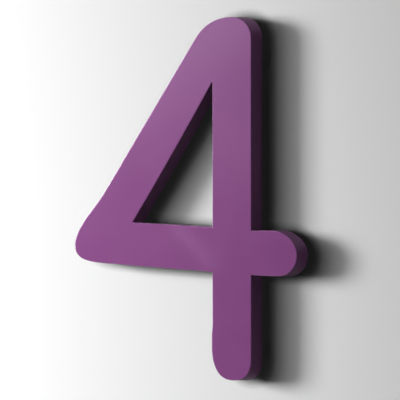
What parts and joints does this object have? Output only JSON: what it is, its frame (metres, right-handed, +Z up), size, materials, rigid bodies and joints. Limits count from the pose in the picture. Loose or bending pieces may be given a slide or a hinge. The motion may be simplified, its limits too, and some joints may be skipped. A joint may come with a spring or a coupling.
{
  "type": "house number",
  "caption": "Wall-mounted house number: a thick painted numeral with rounded strokes and a triangular opening, standing off the wall on concealed studs and spacers.",
  "frame": {"origin": "on the wall's face, behind the middle of the numeral's height and width", "axes": "+Z up, +X to the right of someone who faces the number, +Y into the wall; the numeral's face looks along -Y"},
  "size_m": [0.211, 0.0735, 0.3],
  "materials": {
    "purple_paint": "satin",
    "insert_brass": "satin",
    "stud_stainless": "satin",
    "spacer_nylon": "satin",
    "plug_nylon": "satin"
  },
  "bodies": {
    "wall_fixings": {"wall_plug_top": "plug_nylon", "wall_plug_corner": "plug_nylon", "wall_plug_arm": "plug_nylon", "wall_plug_foot": "plug_nylon"},
    "numeral": {"numeral_four": "purple_paint", "threaded_insert_top": "insert_brass", "stud_top": "stud_stainless", "spacer_top": "spacer_nylon", "threaded_insert_corner": "insert_brass", "stud_corner": "stud_stainless", "spacer_corner": "spacer_nylon", "threaded_insert_arm": "insert_brass", "stud_arm": "stud_stainless", "spacer_arm": "spacer_nylon", "threaded_insert_foot": "insert_brass", "stud_foot": "stud_stainless", "spacer_foot": "spacer_nylon"}
  },
  "joints": [
    {"name": "lift_off", "type": "slide", "parent": "wall_fixings", "child": "numeral", "axis": [0, -1, 0], "range_m": [0, 0.0365]}
  ]
}
